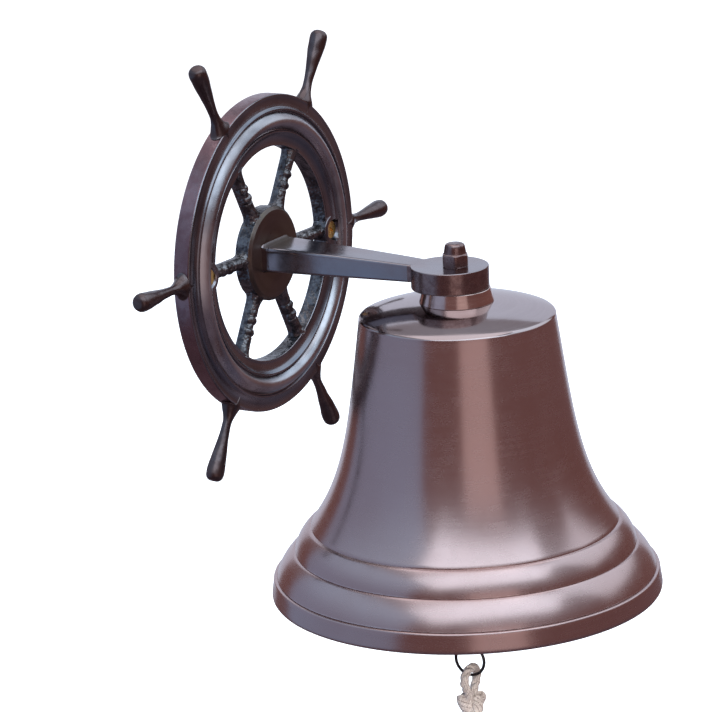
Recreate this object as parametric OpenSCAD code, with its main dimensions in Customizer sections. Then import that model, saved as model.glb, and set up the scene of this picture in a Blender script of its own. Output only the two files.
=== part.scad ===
// Ship bell on a ship's-wheel wall bracket.
// The wall is the plane y = 0 and the bell hangs in front of it, towards -Y, with +Z up.
// The origin is the centre of the wheel's back face, where it rests on the wall.
// Wheel pieces are drawn lying flat, with their height above the wall along +Z,
// and on_wall() stands them up.

/* [Bell] */
// Distance from the wall to the bell's axis
reach = 103; // [98:0.5:110]
// Outer radius of the bell at its mouth
mouth_r = 90; // [89.4:0.1:91]
// Radius of the sharp edge around the crown
crown_r = 44.7; // [44.6:0.1:46]
// Height of the bell from the crown's edge down to the mouth
bell_h = 130.1; // [129.8:0.1:134]
// Thickness of the bell's flank
wall_t = 3.2; // [2.6:0.1:3.6]

/* [Wheel] */
// Outer radius of the wheel's ring
ring_r = 74; // [73.5:0.1:76]
// Radius of the opening inside the ring
window_r = 50; // [49:0.1:50.4]
// Radius of the hub
hub_r = 22; // [20:0.5:24]
// Height of the hub above the wall
hub_h = 8.5; // [8.5:0.1:10]
// Number of spokes, and of handles
arms = 6; // [6]
// Turn of the whole wheel, clockwise from the front
wheel_turn = 1.5; // [0:0.5:10]
// Length of a handle outside the ring
handle_len = 36; // [34:1:40]

/* [Bracket] */
// Radius of the round eye at the end of the arm
eye_r = 17.75; // [17:0.25:19]
// Top of the eye
eye_top = 2.3; // [2:0.1:3]
// Underside of the eye
eye_bottom = -7.7; // [-8:0.1:-7.2]
// Radius of the stud and of the arm's screw, both M6
stud_r = 3; // [3]

/* [Wall screws] */
// Distance of each screw from the wheel's centre
screw_at = 55; // [54:0.5:56]
// Radius of the screw's shank
screw_r = 2.1; // [1.9:0.1:2.2]
// Radius of the screw's head
screw_head_r = 4.1; // [3.8:0.1:4.3]

/* [Clapper] */
// Height of the pin that the clapper swings on
pivot_z = -38; // [-38.5:0.5:-37.5]
// Distance from the pin down to the ball's centre
ball_at = 116; // [112:1:118]
// Radius of the clapper's ball
ball_r = 14; // [12:0.5:14]
// Height of the hole in the clapper's tail
tail_z = -179; // [-180:0.5:-178]

/* [Lanyard] */
// Radius of the thin rope that makes the loop
rope_r = 2; // [1.8:0.1:2]
// Radius of the braided body
braid_r = 7.6; // [7:0.1:8]
// Length of the braided body
braid_len = 96; // [96:1:120]
// Radius of the end knot
knot_r = 12; // [11:0.5:13]
// Length of the tassel
tassel_len = 30; // [24:1:40]

/* [Hidden] */
$fn = 96;

copper = "#6b4238";
bronze_dark = "#3a2a28";

step = 360 / arms;
hole_r = stud_r + 0.2;      // clearance hole for M6
seat_z = -14;               // top of the crown, under the collar
edge_z = -20.4;             // the crown's sharp edge
crown_t = 4;
washer_t = 1.5;
nut_t = 5;
fork_top = seat_z - crown_t - washer_t - nut_t - 1;
fork_r = 6;
fork_bottom = pivot_z - 4.5;
slot_half = 2.3;
pin_r = 1.5;
eye_half = 2;               // half the thickness of the clapper's eye
clapper_eye_r = 4.5;
rod_r = 3;
rod_top = pivot_z - 8.5;
rod_bottom = tail_z + 7;
tail_r = 3.5;
tail_half = 1.5;
tail_hole_r = 1.3;
wire_r = 0.65;
link_r = 7.35;              // the split ring's radius at the middle of its wire
link_z = tail_z - 0.3 - link_r;
pad_r = 7;
pad_h = 7.6;
head_h = 2.3;               // depth of the wall screw's countersunk head
head_top = pad_h - 0.8;
screw_tip = 0.3;            // height of the screws' ends above the wall
handle_axis = 4.2;          // height of a handle's axis above the wall
spoke_axis = 3.4;
spoke_back = 0.4;
arm_screw_len = hub_h + 13;
csk_r = 6;                  // the arm screw's head, a 90 degree cone

// Outline of the ring: radius and height above the wall, from the outer edge inwards.
ring_outline = [
    [ring_r, 0], [ring_r, 7.4], [ring_r - 0.6, 7.8], [70.5, 7.6], [67.8, 8.2],
    [67.4, 9], [66.6, 9.2], [66.1, 8.6], [65.6, 8],
    [65.3, 9.1], [64.2, 10.5], [62.6, 11.2], [60.6, 11.1], [58.8, 10], [57.8, 8.6],
    [57.4, 8], [56.9, 8.8], [56.2, 9],
    [55.5, 8.4], [53.5, 7.2], [51.2, 6.9], [window_r + 0.5, 7.2], [window_r, 6.9],
    [window_r, 0]];

// Outline of a handle: distance out from the ring's wall, and radius.
handle_outline = [
    [-3, 4.6], [0, 4.7], [2.2, 4.6], [3.2, 4.3], [4.4, 3.3], [6.5, 2.5], [10, 2.1],
    [15, 2.4], [20, 2.95], [25, 3.6], [29, 4.1], [31.5, 4.3], [33.4, 4.2],
    [handle_len - 1.2, 3.7], [handle_len - 0.4, 3], [handle_len, 2.2]];

// Outline of a spoke: distance from the wheel's centre, and radius.
spoke_outline = [
    [hub_r - 4, 3.5], [hub_r + 1, 3.4], [26, 2.9], [30, 2.8], [31.2, 2.5],
    [32, 3.3], [33.2, 3.6], [34.4, 3.3], [35.2, 2.6], [36.8, 2.6],
    [37.6, 3.3], [38.8, 3.6], [40, 3.3], [40.8, 2.5], [42, 2.8], [46, 2.9],
    [window_r - 1, 3.3], [window_r + 4, 3.4]];

// Route of the lanyard's loop, seen from the front: x and height.
loop_half = [
    [-2.6, -203.5], [-2.7, -202.5], [-3.6, -201], [-5, -199], [-6, -197],
    [-6.2, -195], [-5.2, -192.9], [-2.9, -191.4]];
loop_route = concat(
    [for (p = loop_half) [p.x, -reach, p.y]],
    [[0, -reach, -191]],
    [for (i = [len(loop_half) - 1 : -1 : 0]) [-loop_half[i].x, -reach, loop_half[i].y]]);
loop_end_z = loop_half[0].y;

// Radius of the bell's outside at depth d below the crown's edge: a slight cone
// that curls outwards ever faster towards the mouth.
flank_h = 97;
function flank(d) = crown_r - 0.1 + 0.14 * d + 12.8 * pow(d / flank_h, 4.69);

// Points along a band that bulges by s between points a and b.
function band(a, b, s, n = 5) =
    let (v = b - a, out = [-v.y, v.x] / norm(v))
    [for (i = [0:n]) a + v * i / n + out * s * 4 * (i / n) * (1 - i / n)];

// Points and depths are turned into radius and height by down().
function down(points) = [for (p = points) [p.x, edge_z - p.y]];

bell_outside = concat(
    [[hole_r, seat_z], [17.2, seat_z], [24, seat_z - 0.8], [30, seat_z - 1.75], [35, seat_z - 2.8],
     [39, seat_z - 3.85], [42, seat_z - 4.8], [crown_r, edge_z]],
    down([for (i = [1:14]) [flank(flank_h * i / 14), flank_h * i / 14]]),
    down([[71.1, 97.4]]),
    down(band([71.9, 97.5], [78.6, 108], -1)),
    down([[78.4, 108.3]]),
    down(band([79.2, 108.4], [mouth_r - 2.6, 120.2], -1)),
    down([[mouth_r - 2.9, 120.5], [mouth_r - 1.5, 120.6], [mouth_r - 1, 121.2],
          [mouth_r - 0.3, bell_h - 4], [mouth_r, bell_h - 1.6], [mouth_r - 0.7, bell_h]]));

bell_inside = concat(
    down([[mouth_r - 5.4, bell_h], [82.9, 121], [74.8, 108.5]]),
    down([for (i = [14:-1:1]) [flank(flank_h * i / 14) - wall_t, flank_h * i / 14]]),
    [[crown_r - 5.5, edge_z - 2.6], [29, seat_z - crown_t - 2.4], [17, seat_z - crown_t],
     [hole_r, seat_z - crown_t]]);

// ---- helpers ----

module on_wall() {
    rotate([90, 0, 0]) rotate([0, 0, -wheel_turn]) children();
}

// A solid turned about the local X axis from an outline of distance and radius.
module turned_along_x(outline) {
    last = outline[len(outline) - 1].x;
    rotate([0, 90, 0])
        rotate_extrude()
            polygon(concat([[0, outline[0].x]], [for (p = outline) [p.y, p.x]], [[0, last]]));
}

module hex_prism(across, h) {
    cylinder(d = across / cos(30), h = h, $fn = 6);
}

module at_bell() {
    translate([0, -reach, 0]) children();
}

// ---- wheel ----

// Ring that lies on the wall, with two pads for the wall screws.
module wheel_ring() {
    color(copper) on_wall() difference() {
        union() {
            rotate_extrude() polygon(ring_outline);
            for (side = [0, 180]) rotate(side) translate([screw_at, 0, 0])
                cylinder(r = pad_r, h = pad_h);
        }
        for (side = [0, 180]) rotate(side) translate([screw_at, 0, 0]) screw_hole();
    }
}

module screw_hole() {
    seat = head_top - head_h;
    slope = (screw_head_r - screw_r) / head_h;
    over = 3;
    translate([0, 0, -1]) cylinder(r = screw_r + 0.1, h = pad_h);
    translate([0, 0, seat])
        cylinder(r1 = screw_r, r2 = screw_r + slope * over, h = over);
}

// Round boss in the middle, with a countersunk hole from behind.
module wheel_hub() {
    color(bronze_dark) on_wall() difference() {
        rotate_extrude() polygon([
            [0, 0], [hub_r, 0], [hub_r, hub_h - 1.5], [hub_r - 1.4, hub_h - 0.2],
            [14, hub_h], [0, hub_h]]);
        translate([0, 0, -1]) cylinder(r = hole_r, h = hub_h + 2);
        translate([0, 0, -1]) cylinder(r1 = csk_r + 1, r2 = csk_r - 3, h = 4);
    }
}

// Spoke k: turned, with two beads in the middle and a flat back.
module spoke(k) {
    color(bronze_dark) on_wall() rotate(step * (k - 1)) difference() {
        translate([0, 0, spoke_axis]) turned_along_x(spoke_outline);
        translate([0, 0, -10]) cylinder(r = hub_r, h = 30);
        translate([0, 0, spoke_back - 20]) cube([200, 40, 40], center = true);
        difference() {
            translate([0, 0, -10]) cylinder(r = window_r + 20, h = 30);
            translate([0, 0, -11]) cylinder(r = window_r, h = 32);
        }
        rotate(-step * (k - 1)) for (side = [0, 180]) rotate(side)
            translate([screw_at, 0, -10]) cylinder(r = pad_r, h = 30);
    }
}

// Handle k: a turned grip outside the ring, cut flat where it lies on the wall.
module handle(k) {
    color(bronze_dark) on_wall() rotate(step * (k - 1)) difference() {
        translate([ring_r, 0, handle_axis]) turned_along_x(handle_outline);
        translate([0, 0, -10]) cylinder(r = ring_r, h = 30);
        translate([0, 0, -20]) cube([400, 40, 40], center = true);
    }
}

// Two countersunk screws, cut flush with the wheel's back.
module mounting_screws() {
    recess = [4.4, 0.9, 1.4];
    color("#b08a3c") on_wall() for (side = [0, 180]) rotate(side)
        translate([screw_at, 0, 0]) difference() {
            rotate_extrude() polygon([
                [0, screw_tip], [screw_r - 0.6, screw_tip], [screw_r, screw_tip + 0.6],
                [screw_r, head_top - head_h],
                [screw_head_r, head_top], [0, head_top]]);
            for (a = [45, 135]) translate([0, 0, head_top]) rotate(a)
                cube([recess.x, recess.y, 2 * recess.z], center = true);
        }
}

// ---- bracket ----

// Square bar that tapers from the hub to the round eye.
module bracket_arm() {
    root = -hub_h;
    eye_y = -(reach - 3);       // the eye sits a little nearer the wall than the stud
    tip = eye_y + 10;           // the bar's end, inside the eye
    plan = [
        [-12, root], [12, root], [7.2, eye_y + 16], [7.2, tip], [-7.2, tip], [-7.2, eye_y + 16]];
    side = [
        [root, 7.4], [root - 1.2, 6.5], [root - 3.5, 5.9], [eye_y + 16, eye_top], [tip, 1],
        [tip, -5], [eye_y + 16, -5.8], [root - 3, -6.3], [root, -7]];
    color("#31333d") difference() {
        union() {
            intersection() {
                translate([0, 0, -20]) linear_extrude(40) polygon(plan);
                translate([-20, 0, 0]) rotate([90, 0, 90]) linear_extrude(40) polygon(side);
            }
            translate([0, eye_y, eye_bottom]) cylinder(r = eye_r, h = eye_top - eye_bottom);
        }
        at_bell() translate([0, 0, -15]) cylinder(r = hole_r, h = 30);
        translate([0, root - 14, 0]) rotate([-90, 0, 0]) cylinder(r = stud_r, h = 14.5);
    }
}

// Socket screw that holds the arm to the hub, its head sunk in the hub's back.
module arm_screw() {
    color("#55565c") rotate([90, 0, 0]) difference() {
        rotate_extrude() polygon([
            [0, 0], [csk_r, 0], [stud_r, csk_r - stud_r], [stud_r, arm_screw_len - 0.6],
            [stud_r - 0.6, arm_screw_len], [0, arm_screw_len]]);
        translate([0, 0, -1]) hex_prism(4, 3.2);
    }
}

// Hexagon nut with a tapered blind cap.
module cap_nut() {
    hex_h = 5.8;
    cap_h = 4.8;
    color(copper) at_bell() translate([0, 0, eye_top]) difference() {
        union() {
            hex_prism(10.5, hex_h);
            translate([0, 0, hex_h]) rotate_extrude() polygon([
                [0, 0], [5, 0], [4.7, 0.6], [4.1, cap_h - 1.2], [3.7, cap_h - 0.4],
                [2.9, cap_h], [0, cap_h]]);
        }
        translate([0, 0, -1]) cylinder(r = stud_r, h = 9.5);
    }
}

// Threaded stud from the cap nut down to the clapper's fork.
module hanger_stud() {
    top = eye_top + 8;
    bottom = fork_top - 5;
    color("#6a6a70") at_bell() translate([0, 0, bottom])
        cylinder(r = stud_r, h = top - bottom);
}

// Conical spacer between the eye and the crown.
module crown_collar() {
    color("#b06a50") at_bell() difference() {
        translate([0, 0, seat_z])
            cylinder(r1 = 17, r2 = 15.45, h = eye_bottom - seat_z);
        translate([0, 0, seat_z - 1]) cylinder(r = hole_r, h = 20);
    }
}

// ---- bell ----

module bell_shell() {
    color(copper) at_bell() rotate_extrude($fn = 128)
        polygon(concat(bell_outside, bell_inside));
}

module crown_washer() {
    color("#8a8a90") at_bell() translate([0, 0, seat_z - crown_t - washer_t]) difference() {
        cylinder(r = 8, h = washer_t);
        translate([0, 0, -1]) cylinder(r = hole_r, h = 4);
    }
}

module lock_nut() {
    color("#8a8a90") at_bell() translate([0, 0, fork_top + 1]) difference() {
        hex_prism(10, nut_t);
        translate([0, 0, -1]) cylinder(r = stud_r, h = nut_t + 2);
    }
}

// ---- clapper ----

// Fork screwed on the stud's lower end; the clapper's eye hangs between its cheeks.
module clapper_fork() {
    slot_top = pivot_z + clapper_eye_r + 0.7;
    color("#7a5a3a") at_bell() difference() {
        translate([0, 0, fork_bottom]) cylinder(r = fork_r, h = fork_top - fork_bottom);
        translate([0, 0, fork_top - 5]) cylinder(r = stud_r, h = 6);
        translate([-slot_half, -10, fork_bottom - 1])
            cube([2 * slot_half, 20, slot_top - fork_bottom + 1]);
        translate([-10, 0, pivot_z]) rotate([0, 90, 0]) cylinder(r = pin_r, h = 20);
    }
}

module clapper_pin() {
    pin_len = 11.4;
    color("#8a8a90") at_bell() translate([-pin_len / 2, 0, pivot_z])
        rotate([0, 90, 0]) cylinder(r = pin_r, h = pin_len);
}

// Rod with an eye at the top and a flattened, drilled tail.
module clapper_rod() {
    color("#6e5136") at_bell() difference() {
        union() {
            translate([-eye_half, 0, pivot_z]) rotate([0, 90, 0])
                cylinder(r = clapper_eye_r, h = 2 * eye_half);
            translate([-eye_half, -2.2, rod_top - 1])
                cube([2 * eye_half, 4.4, pivot_z - rod_top]);
            translate([0, 0, rod_bottom]) cylinder(r = rod_r, h = rod_top - rod_bottom);
            translate([0, 0, rod_bottom - 2])
                cylinder(r1 = tail_half, r2 = rod_r, h = 2);
            translate([-tail_r, -tail_half, tail_z])
                cube([2 * tail_r, 2 * tail_half, rod_bottom - 1.5 - tail_z]);
            translate([0, tail_half, tail_z]) rotate([90, 0, 0])
                cylinder(r = tail_r, h = 2 * tail_half);
        }
        translate([-5, 0, pivot_z]) rotate([0, 90, 0]) cylinder(r = pin_r + 0.05, h = 10);
        translate([0, 5, tail_z]) rotate([90, 0, 0]) cylinder(r = tail_hole_r, h = 10);
    }
}

module clapper_ball() {
    color("#7d5c3c") at_bell() difference() {
        translate([0, 0, pivot_z - ball_at]) sphere(r = ball_r);
        translate([0, 0, pivot_z - ball_at - 20]) cylinder(r = rod_r, h = 40);
    }
}

module split_ring() {
    color("#151518") at_bell() translate([0, 0, link_z]) rotate([0, 90, 0])
        rotate_extrude() translate([link_r, 0]) circle(r = wire_r, $fn = 32);
}

// ---- lanyard ----

// Catmull-Rom point between b and c of four points a, b, c, d.
function between(a, b, c, d, t) =
    0.5 * (2 * b + (c - a) * t + (2 * a - 5 * b + 4 * c - d) * t * t
           + (3 * b - a - 3 * c + d) * t * t * t);

function smooth(route, parts) =
    let (n = len(route))
    concat([for (i = [0 : n - 2]) for (j = [0 : parts - 1])
        between(route[max(i - 1, 0)], route[i], route[i + 1], route[min(i + 2, n - 1)], j / parts)],
        [route[n - 1]]);

// A tube of radius r along a route that lies in an upright plane facing the front.
module tube(route, r, sides = 8) {
    n = len(route);
    function along(i) = i == 0 || i == n - 1 ? [0, 0, i == 0 ? 1 : -1]
        : (route[i + 1] - route[i - 1]) / norm(route[i + 1] - route[i - 1]);
    points = [for (i = [0 : n - 1]) for (k = [0 : sides - 1])
        let (across = cross(along(i), [0, 1, 0]), a = 360 * (k + 0.5) / sides)
        route[i] + r * (cos(a) * across + sin(a) * [0, 1, 0])];
    skin = [for (i = [0 : n - 2]) for (k = [0 : sides - 1])
        let (m = (k + 1) % sides)
        [i * sides + k, i * sides + m, (i + 1) * sides + m, (i + 1) * sides + k]];
    caps = [[for (k = [sides - 1 : -1 : 0]) k], [for (k = [0 : sides - 1]) (n - 1) * sides + k]];
    polyhedron(points, concat(skin, caps));
}

module lanyard_loop() {
    color("#b9b0a2") tube(smooth(loop_route, 2), rope_r);
}

// Square-ended body of plaited strands.
module lanyard_braid() {
    color("#c2b8a8") at_bell() translate([0, 0, loop_end_z]) rotate_extrude() polygon([
        [0, 0], [braid_r - 1.6, 0], [braid_r - 0.4, -1], [braid_r, -2.5],
        [braid_r, 2.5 - braid_len], [braid_r - 1.6, -braid_len], [0, -braid_len]]);
}

module lanyard_knot() {
    half = 11;
    color("#c2b8a8") at_bell() translate([0, 0, loop_end_z - braid_len - half])
        rotate_extrude() polygon(concat(
            [[0, half]],
            [for (a = [60 : -15 : -60]) [knot_r * cos(a) / cos(a / 2), half * sin(a) / sin(60)]],
            [[0, -half]]));
}

module lanyard_tassel() {
    color("#cfc6b6") at_bell() translate([0, 0, loop_end_z - braid_len - 22])
        rotate_extrude() polygon([
            [0, 0], [5.5, 0], [6.2, -4], [8, -14], [9, 3 - tassel_len],
            [8.4, -tassel_len], [0, -tassel_len]]);
}

wheel_ring();
wheel_hub();
for (k = [1:arms]) spoke(k);
for (k = [1:arms]) handle(k);
mounting_screws();
bracket_arm();
arm_screw();
cap_nut();
hanger_stud();
crown_collar();
bell_shell();
crown_washer();
lock_nut();
clapper_fork();
clapper_pin();
clapper_rod();
clapper_ball();
split_ring();
lanyard_loop();
lanyard_braid();
lanyard_knot();
lanyard_tassel();
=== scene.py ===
import math
import bpy
import numpy as np
from mathutils import Matrix, Vector


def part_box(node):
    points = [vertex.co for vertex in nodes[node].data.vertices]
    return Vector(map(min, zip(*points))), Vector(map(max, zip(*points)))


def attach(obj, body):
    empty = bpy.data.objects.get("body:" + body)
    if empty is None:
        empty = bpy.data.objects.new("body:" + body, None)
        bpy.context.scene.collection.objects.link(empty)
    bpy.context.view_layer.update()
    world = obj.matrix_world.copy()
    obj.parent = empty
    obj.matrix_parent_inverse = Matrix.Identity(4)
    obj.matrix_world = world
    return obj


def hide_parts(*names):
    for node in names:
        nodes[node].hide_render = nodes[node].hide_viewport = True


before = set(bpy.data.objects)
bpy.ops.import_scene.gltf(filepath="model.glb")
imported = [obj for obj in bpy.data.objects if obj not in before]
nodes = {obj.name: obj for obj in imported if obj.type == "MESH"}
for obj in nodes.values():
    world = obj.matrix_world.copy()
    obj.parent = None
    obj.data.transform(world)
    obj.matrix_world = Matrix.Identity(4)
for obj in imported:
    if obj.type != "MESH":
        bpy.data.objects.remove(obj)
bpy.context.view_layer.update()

mm = 0.001
bellLow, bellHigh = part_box("bell_shell")
axisX = (bellLow.x + bellHigh.x) / 2                   # the bell's upright axis
axisY = (bellLow.y + bellHigh.y) / 2
bellAxis = np.array([axisX, axisY, 0.0])


# where the camera stands round the bell, in metres and degrees
cameraValues = {
    "target": (-0.0198, -0.0607, -0.0389),
    "azimuth": -59.83,
    "elevation": 15.63,
    "roll": -2.6,
    "distance": 1.545,
    "lens": 172.0,
}


# The camera looks along -back; right and up are turned about back by the roll.
def makeCamera(v):
    az, el, roll = (math.radians(v[k]) for k in ("azimuth", "elevation", "roll"))
    back = Vector((math.sin(az) * math.cos(el), -math.cos(az) * math.cos(el), math.sin(el)))
    flat = Vector((math.cos(az), math.sin(az), 0))
    up = back.cross(flat)
    right = math.cos(roll) * flat + math.sin(roll) * up
    upright = math.cos(roll) * up - math.sin(roll) * flat
    data = bpy.data.cameras.new("camera")
    data.lens = v["lens"]
    data.sensor_width = 36
    data.clip_start = 0.05
    data.clip_end = 60
    cam = bpy.data.objects.new("camera", data)
    bpy.context.scene.collection.objects.link(cam)
    turn = Matrix((right, upright, back)).transposed().to_4x4()
    cam.matrix_world = Matrix.Translation(Vector(v["target"]) + back * v["distance"]) @ turn
    bpy.context.scene.camera = cam


makeCamera(cameraValues)
print("camera placed")


# Faces of a grid of points: row i and column j join row i+1 and column j+1. Rows or columns
# may wrap round, and an open end is closed by a fan to the middle of its row.
def gridFaces(grid, wrapRows=False, wrapCols=True, caps=True):
    rows, cols = grid.shape[:2]
    points = grid.reshape(-1, 3)
    i, j = np.meshgrid(np.arange(rows if wrapRows else rows - 1),
                       np.arange(cols if wrapCols else cols - 1), indexing="ij")
    nextI, nextJ = (i + 1) % rows, (j + 1) % cols
    quads = np.stack([i * cols + j, i * cols + nextJ, nextI * cols + nextJ, nextI * cols + j],
                     axis=-1).reshape(-1, 4)
    faces = quads.tolist()
    if caps and not wrapRows:
        middle = np.array([grid[0].mean(axis=0), grid[-1].mean(axis=0)])
        first = rows * cols
        points = np.vstack([points, middle])
        k = np.arange(cols)
        ahead = (k + 1) % cols
        last = (rows - 1) * cols
        faces += np.stack([np.full(cols, first), ahead, k], axis=-1).tolist()
        faces += np.stack([np.full(cols, first + 1), last + k, last + ahead], axis=-1).tolist()
    return points, faces


# Volume enclosed by the faces, as the sum of the tetrahedra between each face and the origin.
def signedVolume(points, faces):
    total = 0.0
    for size in (3, 4):
        some = np.array([f for f in faces if len(f) == size], dtype=int)
        if len(some):
            a = points[some[:, 0]]
            for k in range(1, size - 1):
                total += (a * np.cross(points[some[:, k]], points[some[:, k + 1]])).sum() / 6
    return total


# One object from one or more grids; each grid is turned outwards by the sign of its volume.
def makePiece(name, grids, material, sharpDegrees=38, **ends):
    allPoints, allFaces, start = [], [], 0
    for grid in (grids if isinstance(grids, list) else [grids]):
        points, faces = gridFaces(np.asarray(grid, float), **ends)
        if signedVolume(points, faces) < 0:
            faces = [f[::-1] for f in faces]
        allPoints.append(points)
        allFaces += [[i + start for i in f] for f in faces]
        start += len(points)
    mesh = bpy.data.meshes.new(name)
    mesh.from_pydata(np.vstack(allPoints).tolist(), [], allFaces)
    mesh.polygons.foreach_set("use_smooth", np.ones(len(mesh.polygons), bool))
    mesh.set_sharp_from_angle(angle=math.radians(sharpDegrees))
    mesh.materials.append(material)
    piece = bpy.data.objects.new(name, mesh)
    bpy.context.scene.collection.objects.link(piece)
    return piece


# A boolean of two pieces, worked out at once; the tool piece is then removed.
def carve(piece, tool, operation):
    change = piece.modifiers.new("carve", "BOOLEAN")
    change.operation = operation
    change.object = tool
    change.solver = "EXACT"
    bpy.context.view_layer.update()
    result = bpy.data.meshes.new_from_object(piece.evaluated_get(bpy.context.evaluated_depsgraph_get()))
    piece.modifiers.clear()
    piece.data = result
    bpy.data.objects.remove(tool)
    result.polygons.foreach_set("use_smooth", np.ones(len(result.polygons), bool))
    result.set_sharp_from_angle(angle=math.radians(38))


# Corners of an outline become short arcs of the given radius, with a point just beyond each
# end of the arc so that the flat beside it stays flat when it is shaded.
def softCorners(corners, radius=0.4, steps=4, closed=True):
    corners = [np.array(c, float) for c in corners]
    out = []
    for i, c in enumerate(corners):
        if not closed and i in (0, len(corners) - 1):
            out.append(c)
            continue
        before, after = corners[i - 1] - c, corners[(i + 1) % len(corners)] - c
        lengthA, lengthB = np.linalg.norm(before), np.linalg.norm(after)
        dirA, dirB = before / lengthA, after / lengthB
        reach = min(radius, 0.45 * lengthA, 0.45 * lengthB)
        if 1 + dirA @ dirB < 0.02:      # almost straight on
            out.append(c)
            continue
        if 0.45 * lengthA > 1.4 * reach:
            out.append(c + dirA * reach * 1.4)
        t = np.linspace(0, 1, steps + 1)[:, None]
        out += list((1 - t) ** 2 * (c + dirA * reach) + 2 * t * (1 - t) * c + t ** 2 * (c + dirB * reach))
        if 0.45 * lengthB > 1.4 * reach:
            out.append(c + dirB * reach * 1.4)
    return np.array(out)


# Catmull-Rom curve through the points, cut into equal parts.
def throughPoints(points, parts=6):
    p = np.asarray(points, float)
    p = np.vstack([2 * p[0] - p[1], p, 2 * p[-1] - p[-2]])
    t = np.linspace(0, 1, parts, endpoint=False)[None, :, None]
    a, b, c, d = (p[k:len(p) - 3 + k][:, None, :] for k in range(4))
    curve = 0.5 * (2 * b + (c - a) * t + (2 * a - 5 * b + 4 * c - d) * t ** 2
                   + (3 * b - a - 3 * c + d) * t ** 3)
    return np.vstack([curve.reshape(-1, p.shape[1]), p[-2]])


# An outline of radius and height, in millimetres, carried round the upright axis.
def turned(outline, around=128):
    outline = np.asarray(outline, float) * mm
    angle = np.linspace(0, 2 * np.pi, around, endpoint=False)
    r, z = outline[:, :1], outline[:, 1:]
    return np.stack([r * np.cos(angle), r * np.sin(angle), z + 0 * angle], axis=-1)


# Centre and normal of every face, one row each.
def facePlaces(mesh):
    middle, normal = (np.empty(len(mesh.polygons) * 3) for _ in range(2))
    mesh.polygons.foreach_get("center", middle)
    mesh.polygons.foreach_get("normal", normal)
    return middle.reshape(-1, 3), normal.reshape(-1, 3)


# A piece's finishes in the order of their slots, and the slot that each face takes.
def setFinishes(mesh, names, slots):
    mesh.materials.clear()
    for name in names:
        mesh.materials.append(metals[name])
    mesh.polygons.foreach_set("material_index", slots.astype(int))


# Wheel pieces are worked out flat, as x, y and height above the wall, and stood up here.
wheelTurn = math.radians(1.5)


def onWall(grid, turn=0.0):
    a = turn - wheelTurn
    x = grid[..., 0] * math.cos(a) - grid[..., 1] * math.sin(a)
    y = grid[..., 0] * math.sin(a) + grid[..., 1] * math.cos(a)
    return np.stack([x, -grid[..., 2], y], axis=-1)


# Uneven skin: a sum of sine waves in fixed random directions, about -1 to 1.
def uneven(points, size, seed):
    draw = np.random.default_rng(seed)
    way = draw.normal(size=(9, 3))
    way /= np.linalg.norm(way, axis=1)[:, None]
    scale = 2 * np.pi / (size * draw.uniform(0.7, 1.6, 9))
    phase = draw.uniform(0, 2 * np.pi, 9)
    return np.sin(points @ (way * scale[:, None]).T + phase).sum(axis=-1) / 4


# Directions square to a path at each of its points, carried along it without twisting.
def pathFrames(path):
    along = np.gradient(path, axis=0)
    along /= np.linalg.norm(along, axis=1)[:, None]
    side = np.cross(along[0], [0.0, 1.0, 0.0])
    if np.linalg.norm(side) < 0.1:
        side = np.cross(along[0], [1.0, 0.0, 0.0])
    sides = []
    for t in along:
        side = side - t * (side @ t)
        side = side / np.linalg.norm(side)
        sides.append(side)
    sides = np.array(sides)
    return along, sides, np.cross(along, sides)


# A round tube of the given radius along a path; the radius may change along it.
def tubeGrid(path, radius, around=12):
    _, side, other = pathFrames(path)
    angle = np.linspace(0, 2 * np.pi, around, endpoint=False)[None, :, None]
    radius = np.broadcast_to(radius, len(path))[:, None, None]
    return path[:, None] + radius * (np.cos(angle) * side[:, None] + np.sin(angle) * other[:, None])


# An empty shader node group with its named inputs and outputs.
def newGroup(name, inputs, outputs):
    group = bpy.data.node_groups.new(name, "ShaderNodeTree")
    for label, kind, value in inputs:
        socket = group.interface.new_socket(label, in_out="INPUT", socket_type=kind)
        if value is not None:
            socket.default_value = value
    for label, kind in outputs:
        group.interface.new_socket(label, in_out="OUTPUT", socket_type=kind)
    return group, group.nodes.new("NodeGroupInput"), group.nodes.new("NodeGroupOutput")


def addNode(tree, kind, **settings):
    node = tree.nodes.new(kind)
    for key, value in settings.items():
        if key[2:].isdigit():
            node.inputs[int(key[2:])].default_value = value
        else:
            setattr(node, key, value)
    return node


def mathNode(tree, operation, a, b=None, clamp=False):
    node = addNode(tree, "ShaderNodeMath", operation=operation, use_clamp=clamp)
    for socket, value in zip(node.inputs, (a, b)):
        if value is None:
            continue
        if isinstance(value, (int, float)):
            socket.default_value = value
        else:
            tree.links.new(value, socket)
    return node.outputs[0]


def mapRange(tree, value, low, high, toLow=0.0, toHigh=1.0):
    node = addNode(tree, "ShaderNodeMapRange", in1=low, in2=high, in3=toLow, in4=toHigh,
                   interpolation_type="SMOOTHSTEP")
    tree.links.new(value, node.inputs[0])
    return node.outputs[0]


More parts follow.
